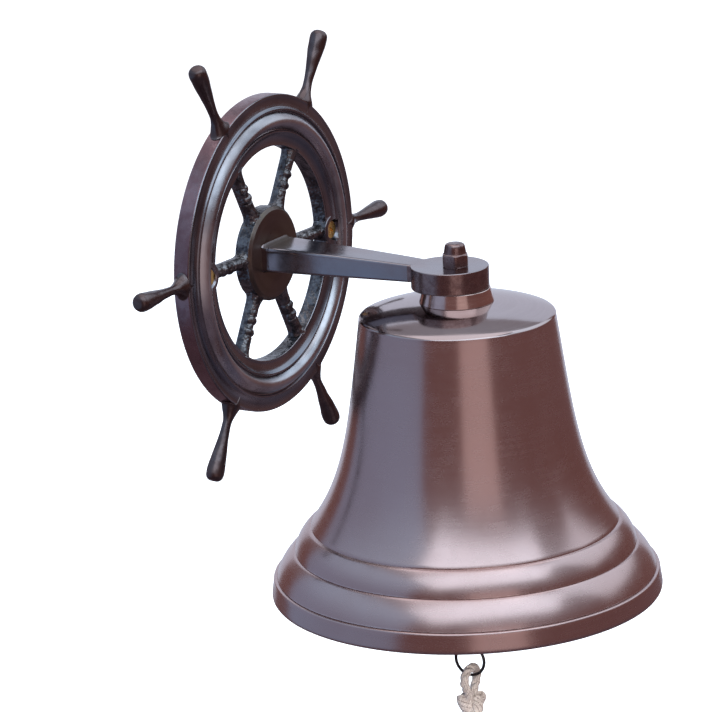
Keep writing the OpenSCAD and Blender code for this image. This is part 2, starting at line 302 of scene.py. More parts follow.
# Worn edges: where a normal rounded over a small radius leaves the true normal.
def edgeWearGroup():
    group, start, end = newGroup("edgeWear", [("Radius", "NodeSocketFloat", 0.0006),
                                              ("Amount", "NodeSocketFloat", 1.0)],
                                 [("Mask", "NodeSocketFloat")])
    bevel = addNode(group, "ShaderNodeBevel", samples=4)
    geometry = addNode(group, "ShaderNodeNewGeometry")
    dot = addNode(group, "ShaderNodeVectorMath", operation="DOT_PRODUCT")
    noise = addNode(group, "ShaderNodeTexNoise", in2=420.0, in3=3.0)
    coords = addNode(group, "ShaderNodeTexCoord")
    link = group.links.new
    link(start.outputs["Radius"], bevel.inputs["Radius"])
    link(bevel.outputs[0], dot.inputs[0])
    link(geometry.outputs["Normal"], dot.inputs[1])
    link(coords.outputs["Object"], noise.inputs["Vector"])
    bend = mathNode(group, "SUBTRACT", 1.0, dot.outputs["Value"], clamp=True)
    sharp = mapRange(group, bend, 0.01, 0.16)
    broken = mapRange(group, noise.outputs[0], 0.3, 0.62, 0.35, 1.0)
    worn = mathNode(group, "MULTIPLY", sharp, broken)
    link(mathNode(group, "MULTIPLY", worn, start.outputs["Amount"], clamp=True), end.inputs["Mask"])
    return group


# Sand-cast skin: small rounded lumps over larger swells.
def castSkinGroup():
    group, start, end = newGroup("castSkin", [("Scale", "NodeSocketFloat", 900.0)],
                                 [("Height", "NodeSocketFloat"), ("Pits", "NodeSocketFloat")])
    coords = addNode(group, "ShaderNodeTexCoord")
    lumps = addNode(group, "ShaderNodeTexVoronoi", feature="SMOOTH_F1")
    lumps.inputs["Smoothness"].default_value = 0.6
    swell = addNode(group, "ShaderNodeTexNoise", in3=4.0, in4=0.6)
    link = group.links.new
    small = mathNode(group, "MULTIPLY", start.outputs["Scale"], 0.35)
    for node, scale in ((lumps, start.outputs["Scale"]), (swell, small)):
        link(coords.outputs["Object"], node.inputs["Vector"])
        link(scale, node.inputs["Scale"])
    rough = mathNode(group, "MULTIPLY", lumps.outputs["Distance"], -0.9)
    link(mathNode(group, "ADD", rough, swell.outputs[0]), end.inputs["Height"])
    link(mapRange(group, swell.outputs[0], 0.38, 0.6), end.inputs["Pits"])
    return group


# Brushed or turned lines: noise that changes fast across the lines and slowly along them.
# Across is a distance in metres over the lines.
def turnedLinesGroup():
    group, start, end = newGroup("turnedLines", [("Across", "NodeSocketFloat", None),
                                                 ("Lines", "NodeSocketFloat", 2600.0)],
                                 [("Height", "NodeSocketFloat"), ("Streak", "NodeSocketFloat")])
    coords = addNode(group, "ShaderNodeTexCoord")
    slow = addNode(group, "ShaderNodeVectorMath", operation="SCALE")
    slow.inputs["Scale"].default_value = 26.0
    split = addNode(group, "ShaderNodeSeparateXYZ")
    link = group.links.new
    link(coords.outputs["Object"], slow.inputs[0])
    link(slow.outputs[0], split.inputs[0])
    outs = []
    for share, detail in ((1.0, 2.0), (0.16, 3.0)):
        mixed = addNode(group, "ShaderNodeCombineXYZ")
        lines = mathNode(group, "MULTIPLY", start.outputs["Lines"], share)
        link(mathNode(group, "MULTIPLY", start.outputs["Across"], lines), mixed.inputs[0])
        link(mathNode(group, "ADD", split.outputs[0], split.outputs[2]), mixed.inputs[1])
        link(split.outputs[1], mixed.inputs[2])
        noise = addNode(group, "ShaderNodeTexNoise", in2=1.0, in3=detail)
        link(mixed.outputs[0], noise.inputs["Vector"])
        outs.append(noise.outputs[0])
    link(mathNode(group, "ADD", outs[0], mathNode(group, "MULTIPLY", outs[1], 0.6)), end.inputs["Height"])
    link(outs[1], end.inputs["Streak"])
    return group


# Patina: broad cloudy patches with finer ones inside them.
def patinaGroup():
    group, start, end = newGroup("patina", [("Scale", "NodeSocketFloat", 24.0)],
                                 [("Cloud", "NodeSocketFloat"), ("Fine", "NodeSocketFloat")])
    coords = addNode(group, "ShaderNodeTexCoord")
    link = group.links.new
    many = mathNode(group, "MULTIPLY", start.outputs["Scale"], 9.0)
    for scale, detail, label in ((start.outputs["Scale"], 4.0, "Cloud"), (many, 3.0, "Fine")):
        noise = addNode(group, "ShaderNodeTexNoise", in3=detail, in4=0.55)
        link(coords.outputs["Object"], noise.inputs["Vector"])
        link(scale, noise.inputs["Scale"])
        link(mapRange(group, noise.outputs[0], 0.32, 0.68), end.inputs[label])
    return group


# Distances that turned lines can cross: the height, the way across the arm, the distance from
# the wheel's axis (the wall's normal through the origin) and the distance from the bell's axis.
def lineWaysGroup():
    ways = ("height", "acrossArm", "wheelRadius", "bellRadius")
    group, _, end = newGroup("lineWays", [], [(way, "NodeSocketFloat") for way in ways])
    coords = addNode(group, "ShaderNodeTexCoord")
    split = addNode(group, "ShaderNodeSeparateXYZ")
    link = group.links.new
    link(coords.outputs["Object"], split.inputs[0])
    link(split.outputs[2], end.inputs["height"])
    link(mathNode(group, "ADD", split.outputs[0], split.outputs[2]), end.inputs["acrossArm"])
    for way, place, scale in (("wheelRadius", (0, 0, 0), (1, 0, 1)),
                              ("bellRadius", (-axisX, -axisY, 0), (1, 1, 0))):
        centre = addNode(group, "ShaderNodeMapping")
        centre.inputs["Location"].default_value = place
        centre.inputs["Scale"].default_value = scale
        length = addNode(group, "ShaderNodeVectorMath", operation="LENGTH")
        link(coords.outputs["Object"], centre.inputs["Vector"])
        link(centre.outputs[0], length.inputs[0])
        link(length.outputs["Value"], end.inputs[way])
    return group


edgeWear = edgeWearGroup()
lineWays = lineWaysGroup()
castSkin = castSkinGroup()
turnedLines = turnedLinesGroup()
patina = patinaGroup()


def placeGroup(tree, group, **values):
    node = tree.nodes.new("ShaderNodeGroup")
    node.node_tree = group
    for key, value in values.items():
        node.inputs[key].default_value = value
    return node


def mixColour(tree, factor, first, second):
    node = addNode(tree, "ShaderNodeMix", data_type="RGBA")
    tree.links.new(factor, node.inputs["Factor"])
    for socket, value in ((node.inputs[6], first), (node.inputs[7], second)):
        if isinstance(value, tuple):
            socket.default_value = (*value, 1)
        else:
            tree.links.new(value, socket)
    return node.outputs[2]


# A new material with its node tree and its Principled shader.
def newMaterial(name):
    material = bpy.data.materials.new(name)
    material.use_nodes = True
    return material, material.node_tree, material.node_tree.nodes["Principled BSDF"]


def setInputs(node, values):
    for label, value in values.items():
        node.inputs[label].default_value = value


def bumpFrom(tree, height, strength, distance):
    bump = addNode(tree, "ShaderNodeBump")
    setInputs(bump, {"Strength": strength, "Distance": distance})
    tree.links.new(height, bump.inputs["Height"])
    return bump.outputs[0]


# A metal finish: patina between two colours, worn edges in a third, with turned lines or a
# cast skin in its roughness and bump.
def metalFinish(name, v):
    material, tree, shader = newMaterial(name)
    link = tree.links.new
    clouds = placeGroup(tree, patina, Scale=v.get("patinaScale", 24.0))
    blend = mathNode(tree, "MULTIPLY", clouds.outputs["Cloud"], v.get("patinaDepth", 0.8))
    colour = mixColour(tree, blend, v["colour"], v["patina"])
    rough = v["rough"]
    if "lines" in v:
        lines = placeGroup(tree, turnedLines, Lines=v["lines"])
        link(placeGroup(tree, lineWays).outputs[v["way"]], lines.inputs["Across"])
        streak = mapRange(tree, lines.outputs["Streak"], 0.3, 0.7)
        streak = mathNode(tree, "MULTIPLY", streak, v.get("streak", 0.15))
        colour = mixColour(tree, streak, colour, v["worn"])
        height = lines.outputs["Height"]
        vary = v.get("vary", 0.13)
        roughness = mapRange(tree, lines.outputs["Streak"], 0.3, 0.7,
                             rough * (1 - vary), rough * (1 + vary))
    else:
        skin = placeGroup(tree, castSkin, Scale=v["skin"])
        height = skin.outputs["Height"]
        colour = mixColour(tree, mathNode(tree, "MULTIPLY", skin.outputs["Pits"], v.get("pits", 0.4)),
                           colour, v["worn"])
        roughness = mapRange(tree, skin.outputs["Pits"], 0.0, 1.0, rough * 1.12, rough * 0.9)
    wear = placeGroup(tree, edgeWear, Radius=v.get("wearRadius", 0.0007), Amount=v.get("wear", 0.7))
    colour = mixColour(tree, wear.outputs["Mask"], colour, v["worn"])
    link(colour, shader.inputs["Base Color"])
    fine = mathNode(tree, "MULTIPLY", clouds.outputs["Fine"], v.get("smudge", 0.06))
    link(mathNode(tree, "ADD", roughness, fine), shader.inputs["Roughness"])
    link(bumpFrom(tree, height, v.get("bump", 0.1), v.get("depth", 0.0002)), shader.inputs["Normal"])
    setInputs(shader, {"Metallic": 1.0, "Anisotropic": v.get("anisotropic", 0.0),
                       "Anisotropic Rotation": v.get("rotation", 0.0)})
    return material


copperBody = (0.50, 0.36, 0.345)
copperDeep = (0.44, 0.29, 0.27)
copperBright = (0.85, 0.72, 0.70)
finishes = {
    "bellCopper": dict(colour=copperBody, patina=copperDeep, worn=copperBright, rough=0.25,
                       lines=5200.0, way="height", bump=0.012, depth=0.00005, anisotropic=0.6, rotation=0.25,
                       patinaScale=14.0, patinaDepth=0.6, streak=0.015, vary=0.04, wear=0.75,
                       wearRadius=0.0006, smudge=0.03),
    "crownCopper": dict(colour=(0.42, 0.33, 0.325), patina=(0.36, 0.26, 0.25), worn=copperBright,
                        rough=0.1, lines=4200.0, way="bellRadius", bump=0.03, depth=0.00004,
                        patinaScale=18.0, patinaDepth=0.5, streak=0.05, wear=0.9, wearRadius=0.0006,
                        smudge=0.03),
    "collarCopper": dict(colour=(0.64, 0.48, 0.45), patina=(0.46, 0.32, 0.29), worn=(0.9, 0.74, 0.68),
                         rough=0.15, lines=3000.0, way="height", bump=0.06, depth=0.00005, streak=0.15,
                         patinaScale=60.0),
    "nutCopper": dict(colour=(0.24, 0.15, 0.14), patina=(0.17, 0.11, 0.11), worn=(0.70, 0.54, 0.50),
                      rough=0.24, skin=1100.0, bump=0.1, depth=0.0002, pits=0.12, patinaScale=130.0,
                      wear=0.9, wearRadius=0.0005),
    "armBronze": dict(colour=(0.31, 0.28, 0.30), patina=(0.29, 0.22, 0.22), worn=(0.62, 0.52, 0.50),
                      rough=0.14, lines=1500.0, way="acrossArm", bump=0.03, depth=0.00006, streak=0.06,
                      patinaScale=40.0, wear=0.6, wearRadius=0.0007),
    "ringBronze": dict(colour=(0.15, 0.17, 0.21), patina=(0.075, 0.078, 0.10), worn=(0.58, 0.50, 0.50),
                       rough=0.2, lines=1500.0, way="wheelRadius", bump=0.12, depth=0.0001, streak=0.28,
                       patinaScale=34.0, wear=0.8, wearRadius=0.0007),
    "rimBronze": dict(colour=(0.30, 0.17, 0.18), patina=(0.16, 0.09, 0.10), worn=(0.58, 0.46, 0.46),
                      rough=0.27, skin=700.0, bump=0.12, depth=0.0002, pits=0.1, patinaScale=40.0,
                      wear=0.8, wearRadius=0.0007),
    "beadBronze": dict(colour=(0.42, 0.42, 0.46), patina=(0.13, 0.115, 0.13), worn=(0.74, 0.68, 0.68),
                       rough=0.27, lines=1200.0, way="wheelRadius", bump=0.18, depth=0.0001, streak=0.4,
                       patinaScale=30.0, patinaDepth=0.95, wear=0.5, wearRadius=0.0006),
    "castBronze": dict(colour=(0.065, 0.06, 0.066), patina=(0.10, 0.08, 0.08), worn=(0.64, 0.62, 0.64),
                       rough=0.29, skin=620.0, bump=0.85, depth=0.0006, pits=0.18, patinaScale=45.0,
                       patinaDepth=0.6, wear=0.8, wearRadius=0.0008),
    "hubFace": dict(colour=(0.10, 0.075, 0.07), patina=(0.14, 0.12, 0.085), worn=(0.38, 0.31, 0.29),
                    rough=0.3, lines=1300.0, way="wheelRadius", bump=0.12, depth=0.0001, streak=0.15,
                    patinaScale=45.0, wear=0.6, wearRadius=0.0009),
    "handleBronze": dict(colour=(0.085, 0.065, 0.068), patina=(0.13, 0.085, 0.08), worn=(0.36, 0.29, 0.29),
                         rough=0.27, skin=380.0, bump=0.12, depth=0.0004, pits=0.12, patinaScale=60.0,
                         wear=0.5, wearRadius=0.0008),
    "screwBrass": dict(colour=(0.98, 0.66, 0.22), patina=(0.80, 0.48, 0.13), worn=(1.0, 0.86, 0.5),
                       rough=0.45, lines=5200.0, way="wheelRadius", bump=0.2, depth=0.0001, streak=0.3,
                       patinaScale=300.0, wear=0.8, wearRadius=0.0004),
    "clapperBrass": dict(colour=(0.45, 0.31, 0.17), patina=(0.30, 0.19, 0.11), worn=(0.72, 0.58, 0.36),
                         rough=0.32, lines=2200.0, way="height", bump=0.15, depth=0.0001, streak=0.25,
                         patinaScale=80.0, wear=0.7),
    "zincSteel": dict(colour=(0.52, 0.52, 0.53), patina=(0.36, 0.36, 0.37), worn=(0.75, 0.75, 0.75),
                      rough=0.32, skin=1500.0, bump=0.1, depth=0.0001, pits=0.25, patinaScale=120.0),
    "blackWire": dict(colour=(0.025, 0.025, 0.03), patina=(0.05, 0.045, 0.045), worn=(0.22, 0.21, 0.21),
                      rough=0.33, skin=2400.0, bump=0.12, depth=0.0001, pits=0.3, patinaScale=300.0,
                      wear=0.3, wearRadius=0.0002),
}
metals = {name: metalFinish(name, values) for name, values in finishes.items()}


# Cotton rope: yarns wound round each strand, from the strand's own UV map (u along it in
# turns, v around it), with painted shade in the grooves between the yarns and fibre noise in the colour, the
# sheen and the bump.
def cottonFinish(name, v):
    material, tree, shader = newMaterial(name)
    link = tree.links.new
    uv = addNode(tree, "ShaderNodeUVMap", uv_map="strand")
    split = addNode(tree, "ShaderNodeSeparateXYZ")
    coords = addNode(tree, "ShaderNodeTexCoord")
    link(uv.outputs[0], split.inputs[0])
    turn = mathNode(tree, "MULTIPLY", mathNode(tree, "ADD", split.outputs[0], split.outputs[1]),
                    2 * math.pi * v["yarns"])
    wave = mathNode(tree, "ABSOLUTE", mathNode(tree, "SINE", turn))
    yarn = mapRange(tree, wave, 0.0, 0.75)
    fibre = addNode(tree, "ShaderNodeTexNoise", in2=1500.0, in3=5.0)
    cloud = addNode(tree, "ShaderNodeTexNoise", in2=160.0, in3=3.0)
    for noise in (fibre, cloud):
        link(coords.outputs["Object"], noise.inputs["Vector"])
    tone = mapRange(tree, cloud.outputs[0], 0.35, 0.65)
    colour = mixColour(tree, tone, v["colour"], v["grey"])
    # painted shade: the colour darkens towards the grooves between the yarns
    colour = mixColour(tree, mapRange(tree, yarn, 0.0, 1.0, 0.75, 0.0), colour, v["grooveShade"])
    colour = mixColour(tree, mapRange(tree, fibre.outputs[0], 0.45, 0.62, 0.0, 0.65), colour, v["light"])
    link(colour, shader.inputs["Base Color"])
    both = mathNode(tree, "ADD", yarn, mathNode(tree, "MULTIPLY", fibre.outputs[0], 1.2))
    link(bumpFrom(tree, both, 0.7, 0.00035), shader.inputs["Normal"])
    setInputs(shader, {"Roughness": 0.92, "Sheen Weight": 0.35, "Sheen Roughness": 0.5,
                       "Specular IOR Level": 0.15})
    return material


# the darkest colour is painted shade for the grooves between the yarns
cottonValues = {"colour": (0.70, 0.62, 0.57), "grey": (0.55, 0.48, 0.45), "grooveShade": (0.27, 0.21, 0.18),
                "light": (0.90, 0.84, 0.79), "yarns": 3}
cotton = cottonFinish("cottonRope", cottonValues)
print("materials made:", len(metals) + 1)


# the thin rope that makes the loop
ropeValues = {
    "diameter": 0.004,
    "strands": 3,
    "strandRadius": 1.2 * mm,
    "strandOffset": 0.98 * mm,
    "pitch": 11 * mm,
    "dip": 5 * mm,          # how far the ends run on into the braid's top
    "turnsPerMetre": 120,   # of the yarns in each strand
}
# The loop's route, seen from the front, in metres.
loopHalf = [(-0.0026, -0.2035), (-0.0027, -0.2025), (-0.0036, -0.201), (-0.005, -0.199),
            (-0.006, -0.197), (-0.0062, -0.195), (-0.0052, -0.1929), (-0.0029, -0.1914)]
loopFlat = loopHalf + [(0.0, -0.191)] + [(-x, z) for x, z in loopHalf[::-1]]
loopPath = throughPoints([(x, axisY, z) for x, z in loopFlat], 6)


# UV map "strand": u counts turns along each tube, v goes once around it.
def strandMap(piece, grids, turnsPerMetre):
    mesh = piece.data
    layer = mesh.uv_layers.new(name="strand")
    values = []
    for grid in grids:
        rows, cols = grid.shape[:2]
        centre = grid.mean(axis=1)
        along = np.concatenate([[0], np.cumsum(np.linalg.norm(np.diff(centre, axis=0), axis=1))])
        u = np.repeat(along * turnsPerMetre, cols)
        v = np.tile(np.arange(cols) / cols, rows)
        values.append(np.stack([u, v], axis=-1))
        values.append(np.array([[0, 0], [along[-1] * turnsPerMetre, 0]]))
    perPoint = np.vstack(values)
    corner = np.empty(len(mesh.loops), int)
    mesh.loops.foreach_get("vertex_index", corner)
    perCorner = perPoint[corner]
    starts = np.empty(len(mesh.polygons), int)
    totals = np.empty(len(mesh.polygons), int)
    mesh.polygons.foreach_get("loop_start", starts)
    mesh.polygons.foreach_get("loop_total", totals)
    face = np.repeat(np.arange(len(starts)), totals)
    highest = np.zeros(len(starts))
    np.maximum.at(highest, face, perCorner[:, 1])
    wraps = (highest[face] > 0.6) & (perCorner[:, 1] < 0.3)
    perCorner[wraps, 1] += 1.0
    layer.data.foreach_set("uv", perCorner.ravel())


# Strand k winds round the path at a fixed distance from it, once every pitch.
def windStrand(path, k, count, offset, pitch):
    _, side, other = pathFrames(path)
    along = np.concatenate([[0], np.cumsum(np.linalg.norm(np.diff(path, axis=0), axis=1))])
    angle = (2 * np.pi * (along / pitch + k / count))[:, None]
    return path + offset * (np.cos(angle) * side + np.sin(angle) * other)


def makeLoop(v):
    start, end = (loopPath[k] - np.array([0, 0, v["dip"]]) for k in (0, -1))
    full = throughPoints(np.vstack([start[None], loopPath[::3], end[None]]), 4)
    grids = [tubeGrid(windStrand(full, k, v["strands"], v["strandOffset"], v["pitch"]),
                      v["strandRadius"], 10) for k in range(v["strands"])]
    piece = makePiece("lanyardLoop", grids, cotton, sharpDegrees=80)
    strandMap(piece, grids, v["turnsPerMetre"])
    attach(piece, "lanyard")
    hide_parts("lanyard_loop")


braidValues = {
    "strands": 4,
    "strandRadius": 3.05 * mm,
    "middle": 3.55 * mm,
    "weave": 0.95 * mm,
    "pitch": 34 * mm,
    "startAngle": 2.1,      # a lobe to each side at the top, seen from the camera
    "turnsPerMetre": 70,
}
braidLow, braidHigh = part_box("lanyard_braid")
knotLow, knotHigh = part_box("lanyard_knot")
tasselLow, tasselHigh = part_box("lanyard_tassel")


# Four-strand sennit: two strands wind one way and two the other, and each moves in and out
# twice a turn, so that they pass over and under where they cross.
def braidStrands(v, top, bottom, rows=150):
    z = np.linspace(top, bottom, rows)
    s = top - z
    close = np.clip(np.minimum(s / 0.006, (s[-1] - s) / 0.004), 0, 1) ** 0.5
    grids = []
    for k in range(v["strands"]):
        way = 1 if k % 2 == 0 else -1
        angle = way * 2 * np.pi * s / v["pitch"] + np.pi * (k // 2) + v["startAngle"]
        weave = v["weave"] * np.cos(4 * np.pi * s / v["pitch"] + np.pi * (k % 2))
        r = (v["middle"] + weave) * (0.92 + 0.08 * close)
        path = np.stack([axisX + r * np.cos(angle), axisY + r * np.sin(angle), z], axis=-1)
        grids.append(tubeGrid(path, v["strandRadius"] * (0.9 + 0.1 * close), 14))
    return grids


def makeBraid(v):
    top, bottom = braidHigh.z, braidLow.z
    grids = braidStrands(v, top - 1.2 * mm, bottom - 1 * mm)
    piece = makePiece("lanyardBraid", grids, cotton, sharpDegrees=80)
    strandMap(piece, grids, v["turnsPerMetre"])
    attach(piece, "lanyard")
    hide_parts("lanyard_braid")
    return piece


knotValues = {
    "radius": 8.9 * mm,
    "height": 7.4 * mm,
    "weave": 1.1 * mm,
    "strandRadius": 2.3 * mm,
    "leads": 3,
    "bights": 5,
    "turnsPerMetre": 80,
}


# Turk's head: one closed strand that goes round three times while it rises and falls five
# times, moving in and out at twice that rate.
def makeKnot(v):
    t = np.linspace(0, 2 * np.pi * v["leads"], 361)[:-1]
    phase = v["bights"] * t / v["leads"]
    middle = (knotLow.z + knotHigh.z) / 2
    z = v["height"] * np.sin(phase)
    r = v["radius"] * np.sqrt(1 - (0.72 * np.sin(phase)) ** 2) + v["weave"] * np.sin(2 * phase)
    path = np.stack([axisX + r * np.cos(t), axisY + r * np.sin(t), middle + z], axis=-1)
    closed = np.vstack([path, path[:2]])
    strand = tubeGrid(closed, v["strandRadius"], 12)[:-1]
    a = np.linspace(0.05, 3.09, 24)
    core = np.stack([0.3 + 6.6 * np.sin(a), 8.6 * np.cos(a)], axis=-1)     # fills the middle
    coreGrid = turned(core, 32) + np.array([axisX, axisY, middle])
    grids = [strand, coreGrid]
    piece = makePiece("lanyardKnot", grids, cotton, sharpDegrees=80)
    strandMap(piece, grids, v["turnsPerMetre"])
    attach(piece, "lanyard")
    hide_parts("lanyard_knot")
    return piece


tasselValues = {"yarns": 46, "radius": 0.85 * mm, "neck": 4.2 * mm, "spread": 8.1 * mm,
                "uneven": 3.2 * mm, "wave": 0.35 * mm, "seed": 7, "turnsPerMetre": 300}
goldenAngle = 2.39996


# Yarns spread evenly over a disc by the golden angle, and hang with a slight wave.
def makeTassel(v):
    draw = np.random.default_rng(v["seed"])
    top, bottom = tasselHigh.z + 2 * mm, tasselLow.z
    grids = []
    for k in range(v["yarns"]):
        r = math.sqrt((k + 0.5) / v["yarns"])
        angle = k * goldenAngle
        end = bottom + draw.uniform(0.0, 1.0) * v["uneven"]
        s = np.linspace(0, 1, 12)
        spread = v["neck"] + (v["spread"] - v["neck"]) * s ** 0.8
        wave = v["wave"] * np.sin(7 * s + draw.uniform(0, 6.28))
        path = np.stack([axisX + (r * spread + wave) * math.cos(angle),
                         axisY + (r * spread - wave) * math.sin(angle),
                         top + (end - top) * s], axis=-1)
        grids.append(tubeGrid(path, v["radius"], 6))
    piece = makePiece("lanyardTassel", grids, cotton, sharpDegrees=80)
    strandMap(piece, grids, v["turnsPerMetre"])
    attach(piece, "lanyard")
    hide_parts("lanyard_tassel")
    return piece


makeLoop(ropeValues)
braid = makeBraid(braidValues)
knot = makeKnot(knotValues)
tassel = makeTassel(tasselValues)
print("lanyard made")


# the bell, in millimetres; heights are taken from the wheel's centre
bellValues = {
    "crownRadius": 44.7,
    "edgeHeight": -20.4,
    "seatHeight": -14.0,
    "flankHeight": 97.0,
    "mouthRadius": 90.0,
    "bellHeight": 130.1,
    "wall": 3.2,
    "around": 256,
}


# Radius of the flank at depth d: a slight cone plus a curl that grows with a high power of d.
def flankRadius(d, v):
    return v["crownRadius"] - 0.1 + 0.14 * d + 12.8 * (d / v["flankHeight"]) ** 4.69


# Points from a to b, bulging outwards by the given amount at the middle.
def bulge(a, b, amount, parts=14):
    a, b = np.array(a, float), np.array(b, float)
    t = np.linspace(0, 1, parts + 1)[:, None]
    along = b - a
    out = np.array([along[1], -along[0]]) / np.linalg.norm(along)
    return a + along * t + out * amount * 4 * t * (1 - t)


def makeBell(v):
    edge, seat = v["edgeHeight"], v["seatHeight"]
    dome = throughPoints([(17.0, seat), (24, seat - 0.8), (30, seat - 1.75), (35, seat - 2.8),
                          (39, seat - 3.85), (42, seat - 4.8), (43.8, seat - 5.5)], 6)
    crown = np.vstack([[(3.2, seat), (15.0, seat)], dome])
    shoulder = softCorners([crown[-1], (v["crownRadius"], edge + 0.05), (flankRadius(1.2, v), edge - 1.2)],
                           0.4, 6, closed=False)
    d = np.linspace(1.6, 96.6, 90)
    flank = np.stack([flankRadius(d, v), edge - d], axis=-1)

    def down(points):       # radius and depth below the crown's edge become radius and height
        return np.array(points) * (1, -1) + (0, edge)

    mouth = v["mouthRadius"]
    bandOne = bulge((71.9, 97.55), (78.6, 108.0), 1.0)
    bandTwo = bulge((79.2, 108.45), (mouth - 2.6, 120.2), 1.0)
    lowPart = np.vstack([
        down([(70.75, 96.9), (70.75, 97.2), (71.3, 97.42)]), down(bandOne),
        down([(78.35, 108.12), (78.4, 108.3), (78.8, 108.4)]), down(bandTwo),
        down([(mouth - 3.0, 120.4), (mouth - 2.9, 120.6), (mouth - 2.2, 120.62), (mouth - 1.7, 120.66),
              (mouth - 1.3, 120.8), (mouth - 1.1, 121.05), (mouth - 0.95, 121.5), (mouth - 0.75, 123.2),
              (mouth - 0.4, 125.8), (mouth - 0.1, 127.8), (mouth, 128.7), (mouth - 0.1, 129.4),
              (mouth - 0.45, 129.9), (mouth - 1.0, v["bellHeight"]), (mouth - 1.6, v["bellHeight"]),
              (mouth - 4.6, v["bellHeight"]), (mouth - 5.3, 129.9), (mouth - 5.7, 129.3)])])
    inner = throughPoints([(mouth - 6.2, 127.0), (82.6, 121.0), (79.0, 114.5), (74.8, 108.5), (70.6, 102.5),
                           (flankRadius(97, v) - v["wall"], 96.5)], 6)
    dIn = np.linspace(95, 4.6, 60)
    innerFlank = np.stack([flankRadius(dIn, v) - v["wall"], edge - dIn], axis=-1)
    roof = throughPoints([(v["crownRadius"] - 3.7, edge - 3.6), (v["crownRadius"] - 6, edge - 2.4),
                          (29, seat - 6.4), (17, seat - 4), (3.2, seat - 4)], 6)
    outline = np.vstack([crown[:-1], shoulder, flank, lowPart, down(inner), innerFlank, roof])
    grid = turned(outline, v["around"]) + bellAxis
    piece = makePiece("bellBody", grid, metals["bellCopper"], 50, wrapRows=True)
    # the crown, inside its sharp edge, is polished brighter than the flank
    middle, _ = facePlaces(piece.data)
    setFinishes(piece.data, ("bellCopper", "crownCopper"), middle[:, 2] > (edge + 0.05) * mm)
    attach(piece, "root")
    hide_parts("bell_shell")


makeBell(bellValues)
print("bell made")


collarValues = {"bore": 3.2, "foot": 17.0, "top": 15.45, "footHeight": -14.0, "topHeight": -7.7}


# A cone frustum with a bore and softened edges.
def makeCollar(v):
    bore, low, high = v["bore"], v["footHeight"], v["topHeight"]
    outline = softCorners([(bore, low), (v["foot"], low), (v["top"], high), (bore, high)], 0.35, 5)
    piece = makePiece("crownCollar", turned(outline, 160) + bellAxis, metals["collarCopper"], wrapRows=True)
    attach(piece, "root")
    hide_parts("crown_collar")


nutValues = {"across": 11.5, "hexHeight": 5.8, "seat": 2.3, "top": 12.9, "blend": 14.0}


# The nut's outline at each height is the smaller of a hexagon with soft corners and a circle.
def makeCapNut(v):
    angle = np.linspace(0, 2 * np.pi, 192, endpoint=False)
    fold = (angle + np.pi / 6) % (np.pi / 3) - np.pi / 6
    hexagon = v["across"] / 2 / np.cos(fold)
    foot, top = v["seat"], v["seat"] + v["hexHeight"]
    levels = [(foot, 6.0), (foot + 0.35, 6.5), (foot + 0.9, 6.6), (top - 1.1, 6.6), (top - 0.5, 6.35),
              (top - 0.12, 5.8), (top, 5.5), (top + 0.1, 5.3), (top + 0.5, 5.15), (top + 1.6, 4.95),
              (top + 3.0, 4.7), (top + 3.7, 4.5), (top + 4.1, 4.3), (top + 4.45, 3.9),
              (top + 4.68, 3.35), (v["top"], 2.7), (v["top"] + 0.04, 1.4)]
    rows = []
    for z, limit in levels:
        r = (hexagon ** -v["blend"] + np.full_like(angle, limit) ** -v["blend"]) ** (-1 / v["blend"])
        rows.append(np.stack([r * np.cos(angle), r * np.sin(angle), np.full_like(angle, z)], axis=-1))
    piece = makePiece("capNut", np.array(rows) * mm + bellAxis, metals["nutCopper"], 30)
    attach(piece, "root")
    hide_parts("cap_nut")


ballValues = {"radius": 14.0, "centre": -154.0, "rod": 3.0}


# A sphere that ends in a small neck round the rod at the top and the bottom.
def makeBall(v):
    a = np.linspace(0.235, math.pi - 0.235, 60)
    sphere = np.stack([v["radius"] * np.sin(a), v["centre"] + v["radius"] * np.cos(a)], axis=-1)
    neck = np.array([(v["rod"] + 0.05, v["centre"] + v["radius"] - 0.2), (3.2, v["centre"] + 13.7)])
    outline = np.vstack([neck, sphere, [(3.2, v["centre"] - 13.7), (v["rod"] + 0.05, v["centre"] - 13.8)]])
    piece = makePiece("clapperBall", turned(outline, 96) + bellAxis, metals["clapperBrass"], wrapRows=True)
    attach(piece, "clapper")
    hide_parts("clapper_ball")


linkValues = {"radius": 7.35, "wire": 0.72, "gapDegrees": 5, "gapAt": 118}


# A bent wire ring that stands in the wall's cross plane, with a small gap between its ends.
def makeLink(v):
    low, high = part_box("split_ring")
    middle = np.array([axisX, (low.y + high.y) / 2, (low.z + high.z) / 2])
    half = v["gapDegrees"] / 2
    a = np.radians(np.linspace(v["gapAt"] + half, v["gapAt"] + 360 - half, 145))
    path = middle + v["radius"] * mm * np.stack([0 * a, np.cos(a), np.sin(a)], axis=-1)
    radius = np.full(len(a), v["wire"] * mm)
    radius[[0, -1]] *= 0.75      # filed ends
    piece = makePiece("splitRing", tubeGrid(path, radius, 16), metals["blackWire"])
    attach(piece, "link")
    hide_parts("split_ring")


makeCollar(collarValues)
makeCapNut(nutValues)
makeBall(ballValues)
makeLink(linkValues)
for name, finish in (("clapper_rod", "clapperBrass"), ("clapper_fork", "clapperBrass"),
                     ("clapper_pin", "zincSteel"), ("hanger_stud", "zincSteel"),
                     ("crown_washer", "zincSteel"), ("lock_nut", "zincSteel"),
                     ("arm_screw", "zincSteel"), ("mounting_screws", "screwBrass")):
    for materialSlot in nodes[name].material_slots:
        materialSlot.material = metals[finish]
print("collar, nut and clapper made")


# the wheel, in millimetres; heights are taken from the wall
ringValues = {"outer": 74.0, "window": 50.0, "padAt": 55.0, "padRadius": 7.0, "padHeight": 7.6,
              "holeRadius": 2.2, "around": 240}


